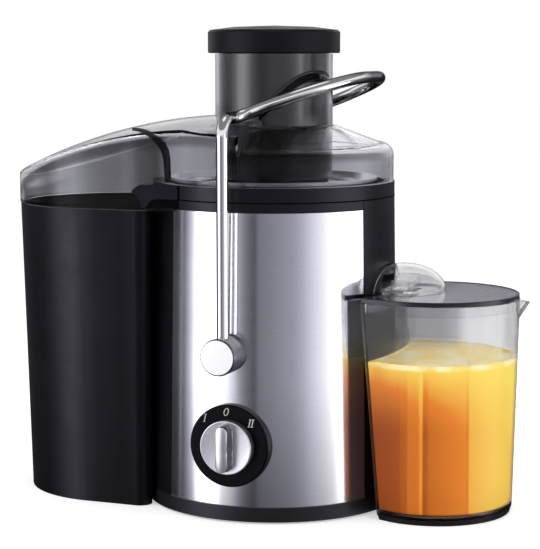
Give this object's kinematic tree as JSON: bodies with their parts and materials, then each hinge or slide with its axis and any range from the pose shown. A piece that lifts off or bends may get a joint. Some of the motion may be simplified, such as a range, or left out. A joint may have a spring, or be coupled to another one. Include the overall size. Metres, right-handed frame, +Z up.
{
  "type": "centrifugal juicer",
  "caption": "Electric centrifugal juicer: steel-fronted motor body, smoked lid with feed chute and pusher, bail locking arm, speed dial, side pulp bin and spouted juice jug.",
  "frame": {"origin": "middle of the footprint on the counter; the motor axis stands 3.5 mm to +X of it", "axes": "+Z up, -Y towards the dial (the front), +X towards the juice jug, -X towards the pulp bin"},
  "size_m": [0.375, 0.212, 0.3313],
  "materials": {
    "black_plastic": "satin black moulded plastic",
    "base_black": "fine-textured black plastic",
    "steel_panel": "brushed stainless sheet, grain level",
    "rubber_black": "soft black rubber",
    "smoked_plastic": "smoked clear plastic, polished",
    "chrome_rod": "polished",
    "knob_metal": "turned face, satin",
    "silver_plastic": "satin silver",
    "bezel_black": "satin, printed marks",
    "clear_plastic": "clear plastic, polished",
    "jug_smoke": "light smoked clear plastic",
    "mesh_steel": "fine etched mesh",
    "machine_steel": "turned, oiled",
    "lamination": "stacked sheet",
    "copper": "enamelled copper wire",
    "carbon": "pressed carbon",
    "board_green": "circuit board",
    "inner_grey": "glass-filled moulding"
  },
  "bodies": {
    "housing": {"motor_housing": "black_plastic", "motor_deck": "black_plastic", "bowl_surround": "black_plastic", "steel_front_panel": "steel_panel", "base_cover": "base_black", "rubber_feet": "rubber_black", "base_screws": "machine_steel", "cord_gland": "rubber_black", "juice_bowl": "black_plastic", "bowl_floor": "black_plastic", "juice_spout": "black_plastic", "bowl_apron": "black_plastic", "shaft_seal": "rubber_black", "feed_lid": "smoked_plastic", "feed_chute": "smoked_plastic", "lid_drip_rib": "black_plastic", "lid_saddles": "black_plastic", "pivot_bushes": "inner_grey", "interlock_switch": "inner_grey", "dial_bezel": "bezel_black", "speed_switch": "inner_grey", "field_stack": "lamination", "field_coils": "copper", "lower_motor_bracket": "machine_steel", "upper_motor_bracket": "machine_steel", "shaft_bearings": "machine_steel", "motor_long_screws": "machine_steel", "motor_dampers": "rubber_black", "carbon_brushes": "carbon", "brush_holders": "inner_grey", "speed_board": "board_green", "board_standoffs": "inner_grey"},
    "rotor": {"motor_shaft": "machine_steel", "armature_stack": "lamination", "armature_windings": "copper", "commutator": "copper", "cooling_fan": "inner_grey", "drive_coupling": "base_black", "basket_hub": "inner_grey", "grater_disc": "mesh_steel", "filter_basket": "mesh_steel", "basket_rim": "inner_grey"},
    "locking_arm": {"locking_bail": "chrome_rod", "front_pivot_knob": "knob_metal", "rear_pivot_knob": "knob_metal", "front_pivot_pin": "machine_steel", "rear_pivot_pin": "machine_steel", "interlock_cam": "inner_grey"},
    "plunger": {"interlock_plunger": "inner_grey"},
    "dial": {"dial_knob": "silver_plastic", "dial_shaft": "machine_steel"},
    "pusher": {"pusher_cap": "black_plastic", "pusher_tube": "black_plastic"},
    "pulp_bin": {"pulp_container": "black_plastic"},
    "jug": {"juice_jug": "clear_plastic", "jug_foot_band": "rubber_black"},
    "jug_cover": {"jug_lid": "jug_smoke", "jug_hood": "clear_plastic", "froth_separator": "clear_plastic"}
  },
  "joints": [
    {"name": "rotor_spin", "type": "hinge", "parent": "housing", "child": "rotor", "pos_m": [0.0035, 0, 0.1], "axis": [0, 0, 1], "continuous": true},
    {"name": "arm_swing", "type": "hinge", "parent": "housing", "child": "locking_arm", "pos_m": [0.0035, 0, 0.1143], "axis": [0, 1, 0], "range_deg": [0, 50]},
    {"name": "plunger_travel", "type": "slide", "parent": "housing", "child": "plunger", "axis": [0, 0, 1], "range_m": [0, 0.0032]},
    {"name": "dial_turn", "type": "hinge", "parent": "housing", "child": "dial", "pos_m": [0.0055, -0.09, 0.0524], "axis": [0, 1, 0], "range_deg": [-45, 45]},
    {"name": "pusher_lift", "type": "slide", "parent": "housing", "child": "pusher", "axis": [0, 0, 1], "range_m": [0, 0.11]},
    {"name": "bin_pull", "type": "slide", "parent": "housing", "child": "pulp_bin", "axis": [-1, 0, 0], "range_m": [0, 0.2]},
    {"name": "jug_pull", "type": "slide", "parent": "housing", "child": "jug", "axis": [1, 0, 0], "range_m": [0, 0.15]},
    {"name": "jug_lid_lift", "type": "slide", "parent": "jug", "child": "jug_cover", "axis": [0, 0, 1], "range_m": [0, 0.08]}
  ],
  "couplings": [
    {"joint": "plunger_travel", "follows": "arm_swing", "m_per_rad": 0.0035}
  ]
}
